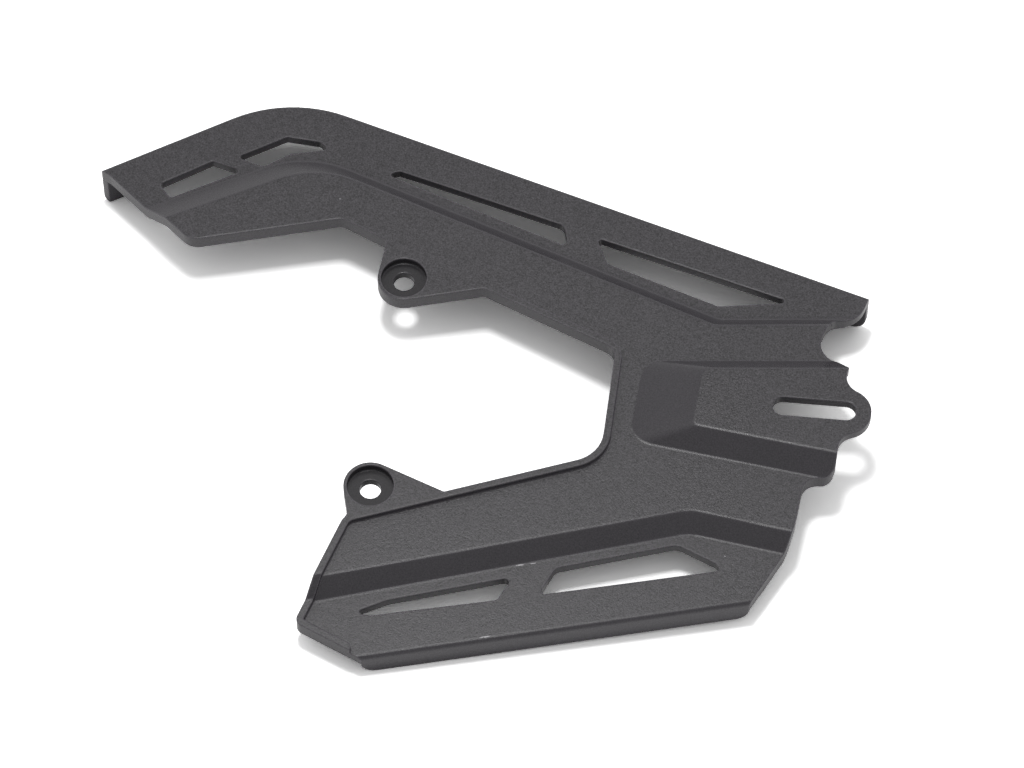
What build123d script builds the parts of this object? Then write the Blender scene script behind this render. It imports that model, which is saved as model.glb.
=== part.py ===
from build123d import *
from math import atan2, cos, degrees, hypot, radians, sin, tan
import os

os.makedirs("parts", exist_ok=True)

# Chain guard for a motorcycle: one moulding in filled nylon.
# The plan is measured from the bore of the upper ear. +X runs along the long
# straight flange and +Z points out of the guard's outer face.
# Height zero is the underside of the upper ear, where it seats on its bracket.

# Skin and flanges
wall = 3.0
flange_wall = 1.8
far_flange_depth = 16.2
near_flange_depth = 8.2

# Steps of the outer face, from the edge strips up to the plateau and the slot boss
plateau_rise = 5.0
boss_rise = 5.5

# Rim of the big opening: a lip that hangs down along the upper arm and climbs
# to stand up as a bead along the lower arm
rim_width = 2.1
rim_height = 4.8
bead_rise = 1.8

# Fixings
ear_radius = 8.0
bore_diameter = 6.4
counterbore_diameter = 14.0
counterbore_depth = 2.4
slot_length = 25.0
slot_width = 6.4
slot_heading = 17.5

# Plan run of each bevel
left_bevel_run = 8.9
far_bevel_run = 5.4
right_bevel_run = 4.9
near_bevel_run = 5.1
boss_far_run = 6.0
boss_near_run = 6.3
boss_ramp_run = 18.5

# Crease and corner radii
soft_crest_radius = 2.0
soft_valley_radius = 3.0
near_crest_radius = 1.2
near_foot_radius = 1.0
far_edge_radius = 1.2
near_edge_radius = 1.4
far_flange_corner_radius = 6.0
near_flange_corner_radius = 4.0
tight_flange_corner_radius = 2.0

# Levels
plateau_level = rim_height
strip_level = plateau_level - plateau_rise
boss_level = plateau_level + boss_rise
bead_level = plateau_level + bead_rise
far_flange_foot = strip_level - far_flange_depth
near_flange_foot = strip_level - near_flange_depth
above = boss_level + 10
below = far_flange_foot - 10

# Places that more than one outline shares
upper_ear = (0, 0)
lower_ear = (21.1, -72.6)
slot_centre = (133.0, 1.8)
far_edge = 51.9
far_bend = (-62.2, far_edge)
slant_heading = 49.6
near_left = (40.7, -124.1)
near_right = (138.2, -62.3)
near_heading = degrees(atan2(near_right[1] - near_left[1], near_right[0] - near_left[0]))
right_end = 132.0
left_end = 3.1
left_corner = (-100.0, 2.0)
far_left = (far_bend[0] - (far_edge - left_end) / tan(radians(slant_heading)), left_end)
far = 300


def ahead(start, heading, distance):
    """The point a distance from start, along a heading in degrees from +X."""
    x, y = start
    return (x + distance * cos(radians(heading)), y + distance * sin(radians(heading)))


def beyond(start, end, distance):
    """The point past the end of a line by a distance."""
    length = hypot(end[0] - start[0], end[1] - start[1])
    share = 1 + distance / length
    return (start[0] + share * (end[0] - start[0]), start[1] + share * (end[1] - start[1]))


def inset(corners, runs):
    """Move each side of an anticlockwise outline inwards by its own run."""
    sides = []
    for (x0, y0, *_), (x1, y1, *_), run in zip(corners, corners[1:] + corners[:1], runs):
        heading = atan2(y1 - y0, x1 - x0)
        sides.append((x0 - run * sin(heading), y0 + run * cos(heading), heading))
    moved = []
    for (xa, ya, a), (xb, yb, b), (_, _, *radii) in zip(sides[-1:] + sides[:-1], sides, corners):
        along = ((xb - xa) * sin(b) - (yb - ya) * cos(b)) / sin(b - a)
        moved.append((xa + along * cos(a), ya + along * sin(a), *radii))
    return moved


def rounded(corners, mode=Mode.ADD):
    """Face with straight sides, from corners that each give x, y and a radius.

    A corner of a raised step gives two radii, at the foot and at the crest. The last one counts.
    """
    with BuildLine() as sides:
        FilletPolyline(
            *[(x, y) for x, y, *_ in corners], radius=[radii[-1] for _, _, *radii in corners],
            close=True,
        )
    make_face(sides.edges(), mode=mode)


def step(corners, runs, level, rise, depth):
    """Raised step with one bevel a side. Its skin line lies a depth below the surface."""
    if depth:
        corners = inset(corners, [depth * tan(atan2(rise, run) / 2) if run else 0 for run in runs])
    with BuildSketch(Plane.XY.offset(level - depth)) as foot:
        rounded([corner[:3] for corner in corners])
    with BuildSketch(Plane.XY.offset(level - depth + rise)) as crest:
        rounded(inset(corners, runs))
    loft([foot.sketch, crest.sketch], ruled=True)


def edge_near(part, x, y, z):
    """The edge of a part that passes closest to a point."""
    return part.edges().sort_by_distance((x, y, z))[0]


# Block under the strips. Its corners lie past the guard's ends wherever the guard is open.
block_outline = [
    (*beyond(near_right, near_left, 90), 0),
    (*beyond(near_left, near_right, 21), 0),
    (beyond(near_left, near_right, 21)[0], 25.0, 0),
    (136.0, 46.0, 0),
    (136.0, far_edge, 0),
    (*far_bend, 42),
    (*ahead(far_bend, 180 + slant_heading, 120), 0),
    (ahead(far_bend, 180 + slant_heading, 120)[0], beyond(near_right, near_left, 90)[1], 0),
]

# Plateau and boss at the foot of their bevels, run out past the block.
# A side with no run lies outside the guard.
plateau_foot = [
    (-100.0, -196.1, 0),
    (112.9, -47.1, 16, 11),
    (170.0, -38.1, 0),
    (170.0, 59.3, 0),
    (93.2, 26.5, 5),
    (-47.9, 33.6, 30),
    (-180.0, -103.2, 0),
]
plateau_runs = [near_bevel_run, near_bevel_run, 0, right_bevel_run, far_bevel_run, left_bevel_run, 0]
boss_foot = [
    (84.9, -26.9, 7, 2.0),
    (170.0, -11.9, 0, 0),
    (170.0, 39.6, 0, 0),
    (78.6, 0.8, 7, 4),
]
boss_runs = [boss_near_run, 0, boss_far_run, boss_ramp_run]

# Ends of the guard. The two flanged sides run out past the block, which forms them.
end_outline = [
    (-60.0, -195.0, 0),
    (*beyond((142.0, -37.9), near_right, 8), 0),
    (142.0, -37.9, 25),
    (138.0, -18.6, 5.0),
    (146.3, -15.6, 4.0),
    (143.3, -4.0, 5.7),
    (150.7, 1.0, 7.7),
    (148.1, 11.6, 7.7),
    (137.6, 13.0, 5.8),
    (137.4, 19.5, 1.0),
    (132.3, 22.9, 4),
    (124.5, 24.0, 7),
    (125.3, 38.6, 2.5),
    (right_end, 43.0, 9),
    (right_end, far_edge + 8, 0),
    (-75.0, far_edge + 8, 0),
    (-170.0, -45.0, 0),
]

# The big opening, from the lower arm round to the left end of the upper arm
opening_outline = [
    (-180.0, -200.0, 0),
    (60.0, -200.0, 0),
    (60.0, -126.6, 0),
    (18.2, -121.3, 2.6),
    (18.2, -85.1, 5),
    (79.7, -35.9, 11),
    (69.6, 0.3, 4.5),
    (-26.2, 12.6, 4),
    (-65.7, -12.9, 6),
    (*left_corner, 1.5),
    (*beyond(left_corner, far_left, 80), 0),
]
upper_ear_root = [(-10.8, 13.2), (28.0, 8.6)]
lower_ear_root = [(20.8, -87.2), (50.0, -66.6)]

# Stretches of the rim. The lip ends and the bead is at full height between the two climb values.
climb_start = 28.0
climb_end = 64.0
arm_parting = -20.0
bead_end = 37.0
end_rim_centre = (146.5, -40.5)
end_rim_zone = (25.0, 53.0)

# Windows in the strips
windows = [
    [(-84.9, 5.1, 1), (-79.5, 1.9, 1.2), (-63.3, 19.8, 1), (-73.3, 19.6, 1)],
    [(-67.2, 23.7, 0.8), (-58.0, 23.8, 1), (-52.4, 31.3, 3), (-42.0, 37.6, 0.8), (-45.6, 39.2, 2),
     (-55.9, 36.9, 1)],
    [(-21.7, 36.1, 0.8), (-13.6, 35.5, 3), (40.5, 33.1, 1.5), (36.2, 40.0, 3), (-18.4, 38.8, 1)],
    [(53.9, 32.1, 2), (90.9, 30.9, 4), (111.4, 41.1, 0.8), (47.0, 39.7, 1)],
    [(32.4, -110.7, 0.8), (37.0, -109.9, 3), (69.4, -90.4, 2.0), (71.0, -81.1, 1.3), (40.0, -102.9, 3)],
    [(80.0, -84.0, 1), (126.4, -55.2, 1.2), (124.0, -53.6, 1.5), (111.2, -52.1, 5), (81.1, -73.6, 2.5)],
]


def outer_form(depth):
    """Solid under the outer face, or, with a depth, the hollow under the skin."""
    with BuildPart() as form:
        with BuildSketch(Plane.XY.offset(far_flange_foot - depth)) as block:
            rounded(block_outline)
            if depth:
                offset(amount=-flange_wall, kind=Kind.INTERSECTION)
        extrude(amount=far_flange_depth)
        step(plateau_foot, plateau_runs, strip_level, plateau_rise, depth)
        step(boss_foot, boss_runs, plateau_level, boss_rise, depth)
        extrude(block.sketch, amount=above - far_flange_foot, mode=Mode.INTERSECT)
        if not depth:
            fillet(edge_near(form, 20, 25.5, plateau_level), soft_crest_radius)
            fillet(edge_near(form, 20, 30.2, strip_level), soft_valley_radius)
            fillet(edge_near(form, 64, -75.0, plateau_level), near_crest_radius)
            fillet(edge_near(form, 66, -79.7, strip_level), near_foot_radius)
            fillet(edge_near(form, 120, -14.5, boss_level), near_crest_radius)
            fillet(edge_near(form, 120, -20.6, plateau_level), near_foot_radius)
            fillet(edge_near(form, 90, -93, strip_level), near_edge_radius)
            fillet(edge_near(form, 30, far_edge, strip_level), far_edge_radius)
    return form.part


def ear_lobe(centre, root):
    """Round-ended lobe about an ear's bore, spreading to its root on the panel."""
    with BuildLine(mode=Mode.PRIVATE) as sides:
        Line(*root)
        CenterArc(centre, ear_radius, 0, 360)
    make_hull(sides.edges())


surface = outer_form(0)
hollow = outer_form(wall)

with BuildSketch() as opening:
    rounded(opening_outline)
    with BuildSketch(mode=Mode.SUBTRACT):
        ear_lobe(upper_ear, upper_ear_root)
    fillet(opening.vertices().sort_by_distance((-10.4, 10.6))[0], 1.0)
    fillet(opening.vertices().sort_by_distance((24.6, 6.1))[0], 3.0)

with BuildSketch() as plan:
    rounded(end_outline)
    add(opening.sketch, mode=Mode.SUBTRACT)
    with BuildSketch():
        ear_lobe(lower_ear, lower_ear_root)
    fillet(plan.vertices().sort_by_distance((42.4, -66.0))[0], 1.0)
    fillet(plan.vertices().sort_by_distance((18.2, -83.5))[0], 3.0)

with BuildSketch() as rim_plan:
    add(opening.sketch)
    offset(amount=rim_width)
    add(opening.sketch, mode=Mode.SUBTRACT)
    add(plan.sketch, mode=Mode.INTERSECT)
    with Locations((bead_end, near_left[1])):
        Rectangle(far, 20, align=(Align.MIN, Align.CENTER), mode=Mode.SUBTRACT)
    fillet(rim_plan.vertices().sort_by_distance((bead_end, -121.6))[0], 1.8)

with BuildSketch() as tab_plan:
    add(plan.sketch)
    rounded(opening_outline, mode=Mode.INTERSECT)
    with Locations((0, arm_parting - far / 2)):
        Rectangle(2 * far, far, mode=Mode.INTERSECT)

with BuildSketch() as end_rim_plan:
    add(plan.sketch)
    offset(plan.sketch, amount=-rim_width, mode=Mode.SUBTRACT)
    with Locations(end_rim_centre):
        Rectangle(*end_rim_zone, mode=Mode.INTERSECT)


def keep_over(outline):
    """Trim the part being built to what lies over a plan outline."""
    extrude(outline.moved(Location((0, 0, below))), amount=above - below, mode=Mode.INTERSECT)


def edging(outline, lift):
    """Strip of full rim height over an outline. It follows the outer face, raised by a lift."""
    with BuildPart() as strip:
        add(surface.moved(Location((0, 0, lift))))
        add(surface.moved(Location((0, 0, lift - rim_height))), mode=Mode.SUBTRACT)
        keep_over(outline)
    return strip.part


def rim_stretch(x0, x1, y0, y1):
    """Part of the rim's plan between limits in X and Y."""
    with BuildSketch() as stretch:
        add(rim_plan.sketch)
        with Locations(((x0 + x1) / 2, (y0 + y1) / 2)):
            Rectangle(x1 - x0, y1 - y0, mode=Mode.INTERSECT)
    return stretch.sketch


def round_off(corner, heading, radius):
    """Round the lower corner at a flange's end. The heading points from there along the flange."""
    along = (cos(radians(heading)), sin(radians(heading)), 0)
    across = (along[1], -along[0], 0)
    with BuildSketch(Plane(origin=corner, x_dir=along, z_dir=across)) as spandrel:
        Rectangle(2 * radius, 2 * radius)
        with Locations((radius, radius)):
            Circle(radius, mode=Mode.SUBTRACT)
    extrude(spandrel.sketch, amount=2 * radius, both=True, mode=Mode.SUBTRACT)


# Stretch of the rim that climbs from a flush top to a flush underside
with BuildPart() as climb:
    with BuildSketch(Plane.XZ.offset(arm_parting)):
        with BuildLine():
            Polyline(
                (climb_start, plateau_level - rim_height),
                (climb_end, bead_level - rim_height),
                (climb_end, bead_level),
                (climb_start, plateau_level),
                close=True,
            )
        make_face()
    extrude(amount=-2 * arm_parting)
    keep_over(rim_plan.sketch)

with BuildPart() as chain_guard:
    # Skin and flanges
    add(surface)
    add(hollow, mode=Mode.SUBTRACT)
    keep_over(plan.sketch)
    with BuildSketch(Plane.XY.offset(near_flange_foot)):
        with Locations((0, arm_parting - far / 2)):
            Rectangle(2 * far, far)
    extrude(amount=-far, mode=Mode.SUBTRACT)

    # Windows
    with BuildSketch(Plane.XY.offset(strip_level - rim_height)):
        for corners in windows:
            rounded(corners)
    extrude(amount=2 * rim_height, mode=Mode.SUBTRACT)

    # Rim: lip, climb, the bead in two stretches, and the lip of the right end
    add(edging(rim_stretch(-far, climb_start, arm_parting, far), 0))
    add(climb.part)
    add(edging(rim_stretch(climb_end, far, arm_parting, far), bead_rise))
    add(edging(rim_stretch(-far, far, -far, arm_parting), bead_rise))
    add(edging(end_rim_plan.sketch, 0))

    # Ears
    with BuildSketch(Plane.XY.offset(plateau_level - rim_height)):
        with Locations(upper_ear):
            Circle(ear_radius)
    extrude(amount=rim_height)
    with BuildSketch(Plane.XY.offset(bead_level - rim_height)):
        add(tab_plan.sketch)
    extrude(amount=rim_height)

    # Fixings
    for ear, top in ((upper_ear, plateau_level), (lower_ear, bead_level)):
        with Locations((*ear, top)):
            CounterBoreHole(bore_diameter / 2, counterbore_diameter / 2, counterbore_depth)
    with BuildSketch(Plane.XY.offset(strip_level)):
        with Locations(slot_centre):
            SlotOverall(slot_length, slot_width, rotation=slot_heading)
    extrude(amount=above - strip_level, mode=Mode.SUBTRACT)

    # Rounded ends of the flanges
    round_off((*near_left, near_flange_foot), near_heading, near_flange_depth - wall)
    round_off((*near_right, near_flange_foot), near_heading + 180, near_flange_corner_radius)
    round_off((right_end, far_edge, far_flange_foot), 180, far_flange_corner_radius)
    round_off((*far_left, far_flange_foot), slant_heading, tight_flange_corner_radius)

chain_guard.part.label = "chain_guard"
export_step(chain_guard.part, "parts/chain_guard.step")
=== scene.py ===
import math

import bmesh
import bpy
from mathutils import Matrix, Vector


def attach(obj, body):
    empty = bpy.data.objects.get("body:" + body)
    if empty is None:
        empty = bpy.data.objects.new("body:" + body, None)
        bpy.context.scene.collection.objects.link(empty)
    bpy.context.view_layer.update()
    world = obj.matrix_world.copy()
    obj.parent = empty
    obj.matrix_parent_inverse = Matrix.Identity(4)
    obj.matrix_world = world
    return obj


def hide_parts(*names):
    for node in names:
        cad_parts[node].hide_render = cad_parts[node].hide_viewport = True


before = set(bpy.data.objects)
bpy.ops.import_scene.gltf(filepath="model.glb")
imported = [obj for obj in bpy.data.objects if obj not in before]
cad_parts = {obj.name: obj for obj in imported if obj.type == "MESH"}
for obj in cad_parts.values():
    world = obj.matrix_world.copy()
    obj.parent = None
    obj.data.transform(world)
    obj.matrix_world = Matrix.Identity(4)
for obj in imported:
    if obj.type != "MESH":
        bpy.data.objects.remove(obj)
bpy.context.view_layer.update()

MM = 0.001

# Photograph: a long lens, far off, looking down on the outer face
CAMERA_PLACE = Vector((0.36928, -0.78203, 1.30110))
CAMERA_TARGET = Vector((0.04533, -0.02239, 0.00480))
LENS = 180.0
SENSOR_WIDTH = 36.0
CLIP_NEAR = 0.05
CLIP_FAR = 20.0

# How the guard lies: on both ends of the long flange and on one end of the short one
RESTING_POINTS = (
    Vector((-0.1035, 0.0028, -0.0164)),
    Vector((0.1300, 0.0497, -0.0164)),
    Vector((0.0452, -0.1210, -0.0084)),
)
FLOOR_REACH = 3.0

# What the floor sends back to the guard, and how much whiter it photographs
FLOOR_COLOUR = 0.92
FLOOR_GAIN = 0.90

# One small softbox hangs over the guard, a little behind it and to its left
LAMP_PLACE = Vector((-0.06, 0.10, 1.0))
LAMP_TARGET = Vector((0.02, -0.02, 0.0))
LAMP_SIZE = 0.17
LAMP_POWER = 4.2

# The studio's walls are brighter behind the guard and to its left
BRIGHT_SIDE = (-0.45, 0.85, 0.25)
BRIGHT_WALL = 0.85
DARK_WALL = 0.55
DARK_BELOW = -0.5
BRIGHT_ABOVE = 0.6

# Joining up the solid's triangles: specks are merged, flats become one face, edges stay crisp
SLIVER = 0.02 * MM
FLAT_ANGLE = math.radians(0.3)
CRISP_ANGLE = math.radians(35)

# Edges that the moulding tool leaves a little rounded
EDGE_ROUND = 0.8 * MM
ROUND_SAMPLES = 4

# How much of a normal points up or down: where the grain begins and is full, below which slopes
# get painted light, and where walls begin and are full, which get painted light too
GRAIN_BEGINS = 0.965
GRAIN_FULL = 0.998
WALL_BEGINS = 0.6
WALL_FULL = 0.2

# How much of a facet's normal is left at its rounded edge, where the painted edge highlight begins
# and is full
EDGE_HIGHLIGHT_BEGINS = 0.997
EDGE_HIGHLIGHT_FULL = 0.93

# Middle of each ear's recess floor, and how far from it the smoother finish and the painted shade
# reach
RECESS_FLOORS = (Vector((0.0, 0.0, 0.0024)), Vector((0.0211, -0.0726, 0.0042)))
RECESS_REACH = 7.1 * MM
RECESS_FADE = 0.2 * MM

# Patterns all through the nylon's skin, from fine to wide
GRAIN = {"Scale": 2200.0, "Detail": 2.0, "Roughness": 0.8}
MOTTLE = {"Scale": 420.0, "Detail": 2.0, "Roughness": 0.55}
CLOUD = {"Scale": 45.0, "Detail": 3.0, "Roughness": 0.5}

# Colour of the flats, and how far the patterns lighten and darken it
NYLON_COLOUR = (0.0362, 0.0336, 0.0382)
GRAIN_ON_SMOOTH = 1.4
GRAIN_ON_FLATS = 4.4
MOTTLE_ON_FLATS = 0.2
CLOUD_EVERYWHERE = 0.15
DARKEST = 0.1

# Painted light and shade: how much lighter than the flats the slopes and walls are drawn (painted
# light) and the edges (painted highlight), and how much darker the recess floors (painted shade)
SLOPES_PAINTED_LIGHT = 1.22
WALLS_PAINTED_LIGHT = 0.35
EDGES_PAINTED_HIGHLIGHT = 2.5
RECESS_PAINTED_SHADE = 0.52

# Roughness of smooth places and of flats, and how far the patterns change it
SMOOTH_ROUGHNESS = 0.25
FLAT_ROUGHNESS = 0.34
CLOUD_ROUGHNESS = 0.08
GRAIN_ROUGHNESS_SMOOTH = 0.06
GRAIN_ROUGHNESS_FLAT = 0.25

# Depth of the grain on the flats
RELIEF_STRENGTH = 0.8
RELIEF_DEPTH = 0.1 * MM
MOTTLE_RELIEF = 0.4

# Pale scuffs: middle, heading in degrees, half length and half width
SCUFFS = (
    (Vector((0.0710, -0.0768, 0.0000)), 32.4, 1.8 * MM, 0.30 * MM),
    (Vector((0.0744, -0.0747, 0.0000)), 32.4, 1.2 * MM, 0.25 * MM),
    (Vector((0.0712, -0.1031, -0.0004)), 32.4, 2.2 * MM, 0.28 * MM),
    (Vector((0.1255, -0.0502, -0.0002)), 0.0, 0.3 * MM, 0.25 * MM),
    (Vector((-0.0297, 0.0189, 0.0048)), 20.0, 0.3 * MM, 0.25 * MM),
)
SCUFF_COLOUR = (0.42, 0.41, 0.43)
SCUFF_DEPTH = 1.0 * MM
SCUFF_CORE = 0.4

# Only the higher grains are scuffed
SCUFFED_ABOVE = 0.32
SCUFFED_FULLY = 0.5

# Sockets of a Mix node that mixes colours
MIX_MASK, MIX_UNDER, MIX_OVER, MIX_RESULT = 0, 6, 7, 2


class Value:
    """A socket of a material that ordinary arithmetic works on."""

    def __init__(self, nodes, socket):
        self.nodes = nodes
        self.socket = socket

    def maths(self, operation, first, second):
        return self.nodes.add("ShaderNodeMath", {"operation": operation}, {0: first, 1: second})

    def __add__(self, other):
        return self.maths("ADD", self, other)

    def __radd__(self, other):
        return self.maths("ADD", other, self)

    def __sub__(self, other):
        return self.maths("SUBTRACT", self, other)

    def __rsub__(self, other):
        return self.maths("SUBTRACT", other, self)

    def __mul__(self, other):
        return self.maths("MULTIPLY", self, other)

    def __rmul__(self, other):
        return self.maths("MULTIPLY", other, self)

    def __abs__(self):
        return self.maths("ABSOLUTE", self, 0.0)

    def at_least(self, lowest):
        return self.maths("MAXIMUM", self, lowest)


class Recipe:
    """The nodes of one material, or of the studio's surroundings."""

    def __init__(self, owner):
        self.owner = owner
        owner.use_nodes = True
        self.tree = owner.node_tree
        self.tree.nodes.clear()

    def add(self, kind, settings=None, inputs=None, output=0):
        """One node, with its settings and the values or links of its sockets."""
        node = self.tree.nodes.new(kind)
        for name, setting in (settings or {}).items():
            setattr(node, name, setting)
        for name, given in (inputs or {}).items():
            if isinstance(given, Value):
                self.tree.links.new(given.socket, node.inputs[name])
            else:
                node.inputs[name].default_value = given
        return Value(self, node.outputs[output]) if node.outputs else None

    def blend(self, mask, low, high):
        """A value that goes from low to high as a mask goes from 0 to 1."""
        return low + (high - low) * mask

    def rise(self, value, low, high):
        """A mask: 0 at low, 1 at high and smooth between, whichever of the two is larger."""
        return self.add(
            "ShaderNodeMapRange",
            {"interpolation_type": "SMOOTHSTEP"},
            {"Value": value, "From Min": low, "From Max": high},
        )

    def measure(self, operation, first, second=None):
        """A number from one vector or two, such as a length or a dot product."""
        vectors = {0: first} if second is None else {0: first, 1: second}
        return self.add("ShaderNodeVectorMath", {"operation": operation}, vectors, "Value")

    def pattern(self, place, sizes):
        return self.add("ShaderNodeTexNoise", {}, {"Vector": place, **sizes})

    def finish(self, surface, kind="ShaderNodeOutputMaterial"):
        self.add(kind, {}, {"Surface": surface})
        return self.owner


def scuffs(recipe, place):
    """Mask of the few pale scuffs and nicks."""
    total = 0.0
    for middle, heading, length, width in SCUFFS:
        turned = {
            "Vector": place,
            "Location": middle,
            "Rotation": (0.0, 0.0, math.radians(heading)),
            "Scale": (length, width, SCUFF_DEPTH),
        }
        local = recipe.add("ShaderNodeMapping", {"vector_type": "TEXTURE"}, turned)
        total = total + recipe.rise(recipe.measure("LENGTH", local), 1.0, SCUFF_CORE)
    return total


def recess_floors(recipe, place):
    """Mask of the two recesses that the screw heads sit in, for their smoother finish and their
    painted shade.
    """
    total = 0.0
    for middle in RECESS_FLOORS:
        off_middle = recipe.measure("DISTANCE", place, middle)
        total = total + recipe.rise(off_middle, RECESS_REACH + RECESS_FADE, RECESS_REACH)
    return total


def moulded_nylon():
    """Charcoal filled nylon: spark-eroded grain on flats, smoother everywhere else, with painted
    light on slopes and walls, painted highlights on edges and painted shade in the recesses.
    """
    recipe = Recipe(bpy.data.materials.new("moulded_nylon"))
    place = recipe.add("ShaderNodeTexCoord", output="Object")
    facet = recipe.add("ShaderNodeNewGeometry", output="True Normal")
    rounded = recipe.add("ShaderNodeBevel", {"samples": ROUND_SAMPLES}, {"Radius": EDGE_ROUND})
    level = abs(recipe.add("ShaderNodeSeparateXYZ", {}, {0: rounded}, "Z"))

    recessed = recess_floors(recipe, place)
    flat = recipe.rise(level, GRAIN_BEGINS, GRAIN_FULL) * (1.0 - recessed)
    wall = recipe.rise(level, WALL_BEGINS, WALL_FULL)
    kept = recipe.measure("DOT_PRODUCT", rounded, facet)
    edge = recipe.rise(kept, EDGE_HIGHLIGHT_BEGINS, EDGE_HIGHLIGHT_FULL)

    grain = recipe.pattern(place, GRAIN)
    mottle = recipe.pattern(place, MOTTLE)
    cloud = recipe.pattern(place, CLOUD)
    speck = grain - 0.5
    drift = cloud - 0.5

    shade = 1.0 + speck * recipe.blend(flat, GRAIN_ON_SMOOTH, GRAIN_ON_FLATS)
    shade = shade + (mottle - 0.5) * MOTTLE_ON_FLATS * flat + drift * CLOUD_EVERYWHERE
    # Painted shade: the recess floors are drawn darker
    shade = shade * (1.0 - recessed * RECESS_PAINTED_SHADE)
    # Painted light: slopes and walls are drawn lighter than the flats
    shade = shade * (recipe.blend(flat, SLOPES_PAINTED_LIGHT, 1.0) + wall * WALLS_PAINTED_LIGHT)
    # Painted highlight: rounded edges, convex and concave, are drawn lighter
    shade = (shade * recipe.blend(edge, 1.0, EDGES_PAINTED_HIGHLIGHT)).at_least(DARKEST)
    tone = recipe.add(
        "ShaderNodeVectorMath",
        {"operation": "SCALE"},
        {0: NYLON_COLOUR, "Scale": shade},
    )

    nicked = scuffs(recipe, place) * recipe.rise(grain, SCUFFED_ABOVE, SCUFFED_FULLY)
    scuffed = recipe.add(
        "ShaderNodeMix",
        {"data_type": "RGBA"},
        {MIX_MASK: nicked, MIX_UNDER: tone, MIX_OVER: (*SCUFF_COLOUR, 1.0)},
        MIX_RESULT,
    )

    rough = recipe.blend(flat, SMOOTH_ROUGHNESS, FLAT_ROUGHNESS) + drift * CLOUD_ROUGHNESS
    rough = rough + speck * recipe.blend(flat, GRAIN_ROUGHNESS_SMOOTH, GRAIN_ROUGHNESS_FLAT)
    relief = recipe.add(
        "ShaderNodeBump",
        {},
        {
            "Strength": RELIEF_STRENGTH,
            "Distance": RELIEF_DEPTH,
            "Height": (grain + mottle * MOTTLE_RELIEF) * flat,
            "Normal": rounded,
        },
        "Normal",
    )
    surface = recipe.add(
        "ShaderNodeBsdfPrincipled",
        {},
        {"Base Color": scuffed, "Roughness": rough, "Normal": relief, "IOR": 1.5},
    )
    return recipe.finish(surface)


def pale_floor():
    """Matt white paper that photographs white but keeps the guard's shadow."""
    recipe = Recipe(bpy.data.materials.new("pale_floor"))
    seen = recipe.add("ShaderNodeLightPath", output="Is Camera Ray")
    white = FLOOR_COLOUR + seen * FLOOR_GAIN
    paper = recipe.add("ShaderNodeCombineColor", {}, {"Red": white, "Green": white, "Blue": white})
    return recipe.finish(recipe.add("ShaderNodeBsdfDiffuse", {}, {"Color": paper}))


def add_piece(name, data):
    piece = bpy.data.objects.new(name, data)
    bpy.context.scene.collection.objects.link(piece)
    return piece


def even_normals(mesh):
    """Give flats one normal right up to their edges, and fillets a smooth turn between them."""
    around = {}
    for face in mesh.polygons:
        for corner in face.vertices:
            around.setdefault(corner, []).append(face)
    normals = []
    for face in mesh.polygons:
        for corner in face.vertices:
            near = [
                other
                for other in around[corner]
                if other.normal.angle(face.normal, 0.0) < CRISP_ANGLE
            ]
            normal = sum((other.normal * other.area for other in near), Vector())
            normals.append(normal.normalized())
    mesh.normals_split_custom_set(normals)


def joined_copy(node, name):
    """Copy of a CAD node with its triangles joined up, crisp at edges and smooth on fillets."""
    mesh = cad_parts[node].data.copy()
    mesh.materials.clear()
    shell = bmesh.new()
    shell.from_mesh(mesh)
    bmesh.ops.remove_doubles(shell, verts=shell.verts, dist=SLIVER)
    bmesh.ops.dissolve_degenerate(shell, dist=SLIVER, edges=shell.edges)
    bmesh.ops.dissolve_limit(
        shell,
        angle_limit=FLAT_ANGLE,
        verts=shell.verts,
        edges=shell.edges,
        use_dissolve_boundaries=False,
    )
    for face in shell.faces:
        face.smooth = True
    shell.to_mesh(mesh)
    shell.free()
    even_normals(mesh)
    return add_piece(name, mesh)


def make_guard():
    guard = joined_copy("chain_guard", "chain_guard_skin")
    guard.data.materials.append(moulded_nylon())
    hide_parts("chain_guard")
    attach(guard, "root")


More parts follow.
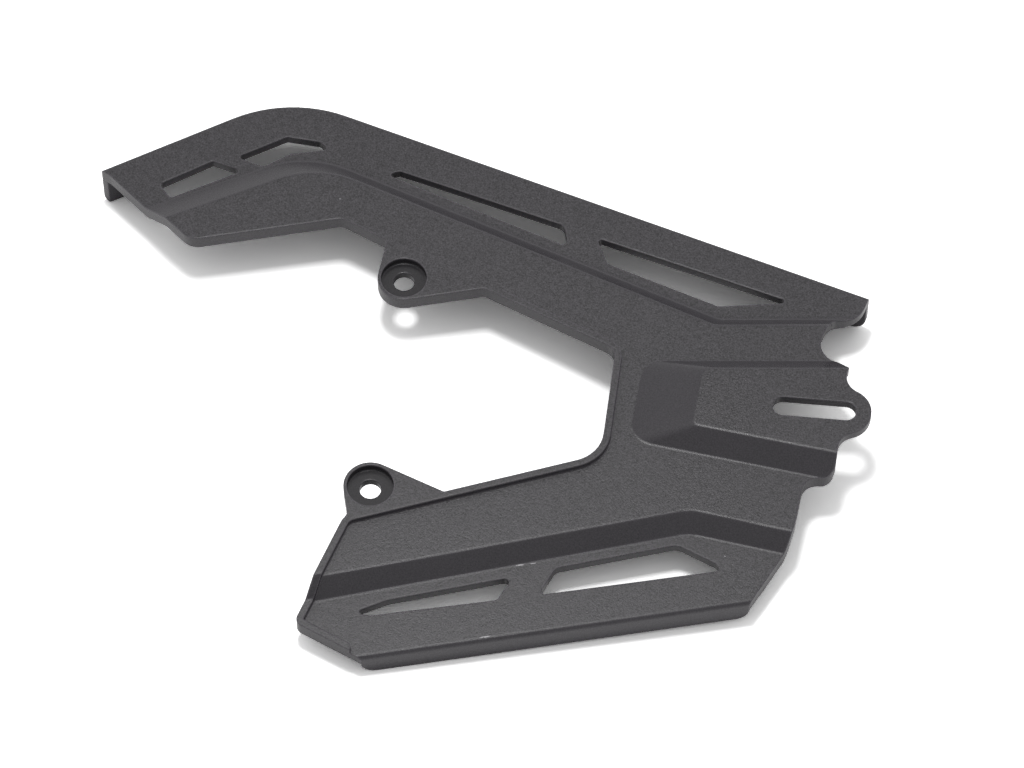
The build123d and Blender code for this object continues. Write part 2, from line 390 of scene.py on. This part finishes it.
def make_floor():
    """Lay the floor under the guard, tilted as the guard's three resting points are."""
    left, right, near = RESTING_POINTS
    along = (right - left).normalized()
    up = along.cross(left - near).normalized()
    across = up.cross(along)
    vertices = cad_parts["chain_guard"].data.vertices
    centre = up * min(up.dot(vertex.co) for vertex in vertices)
    corners = [
        centre + FLOOR_REACH * (x * along + y * across)
        for x, y in ((-1, -1), (1, -1), (1, 1), (-1, 1))
    ]
    mesh = bpy.data.meshes.new("floor")
    mesh.from_pydata(corners, [], [(0, 1, 2, 3)])
    mesh.materials.append(pale_floor())
    floor = add_piece("floor", mesh)


def aim(thing, place, target):
    """Put a lamp or the camera at a place, looking at a target with +Z up."""
    turn = (target - place).to_track_quat("-Z", "Y").to_matrix().to_4x4()
    thing.matrix_world = Matrix.Translation(place) @ turn


def make_camera():
    data = bpy.data.cameras.new("camera")
    data.lens = LENS
    data.sensor_width = SENSOR_WIDTH
    data.clip_start = CLIP_NEAR
    data.clip_end = CLIP_FAR
    camera = add_piece("camera", data)
    aim(camera, CAMERA_PLACE, CAMERA_TARGET)
    bpy.context.scene.camera = camera


def make_softbox():
    data = bpy.data.lights.new("overhead", "AREA")
    data.shape = "SQUARE"
    data.size = LAMP_SIZE
    data.energy = LAMP_POWER
    aim(add_piece("overhead", data), LAMP_PLACE, LAMP_TARGET)


def make_surroundings():
    """Walls that light the guard, and plain white where the camera looks past the floor."""
    recipe = Recipe(bpy.data.worlds.new("studio"))
    seen = recipe.add("ShaderNodeLightPath", output="Is Camera Ray")
    direction = recipe.add("ShaderNodeTexCoord", output="Generated")
    towards = recipe.measure("DOT_PRODUCT", direction, BRIGHT_SIDE)
    bright = recipe.rise(towards, DARK_BELOW, BRIGHT_ABOVE)
    walls = recipe.blend(bright, DARK_WALL, BRIGHT_WALL)
    air = recipe.add("ShaderNodeBackground", {}, {"Strength": recipe.blend(seen, walls, 1.0)})
    bpy.context.scene.world = recipe.finish(air, "ShaderNodeOutputWorld")


make_camera()
make_guard()
make_floor()
make_softbox()
make_surroundings()

bpy.context.scene.view_settings.view_transform = "Standard"
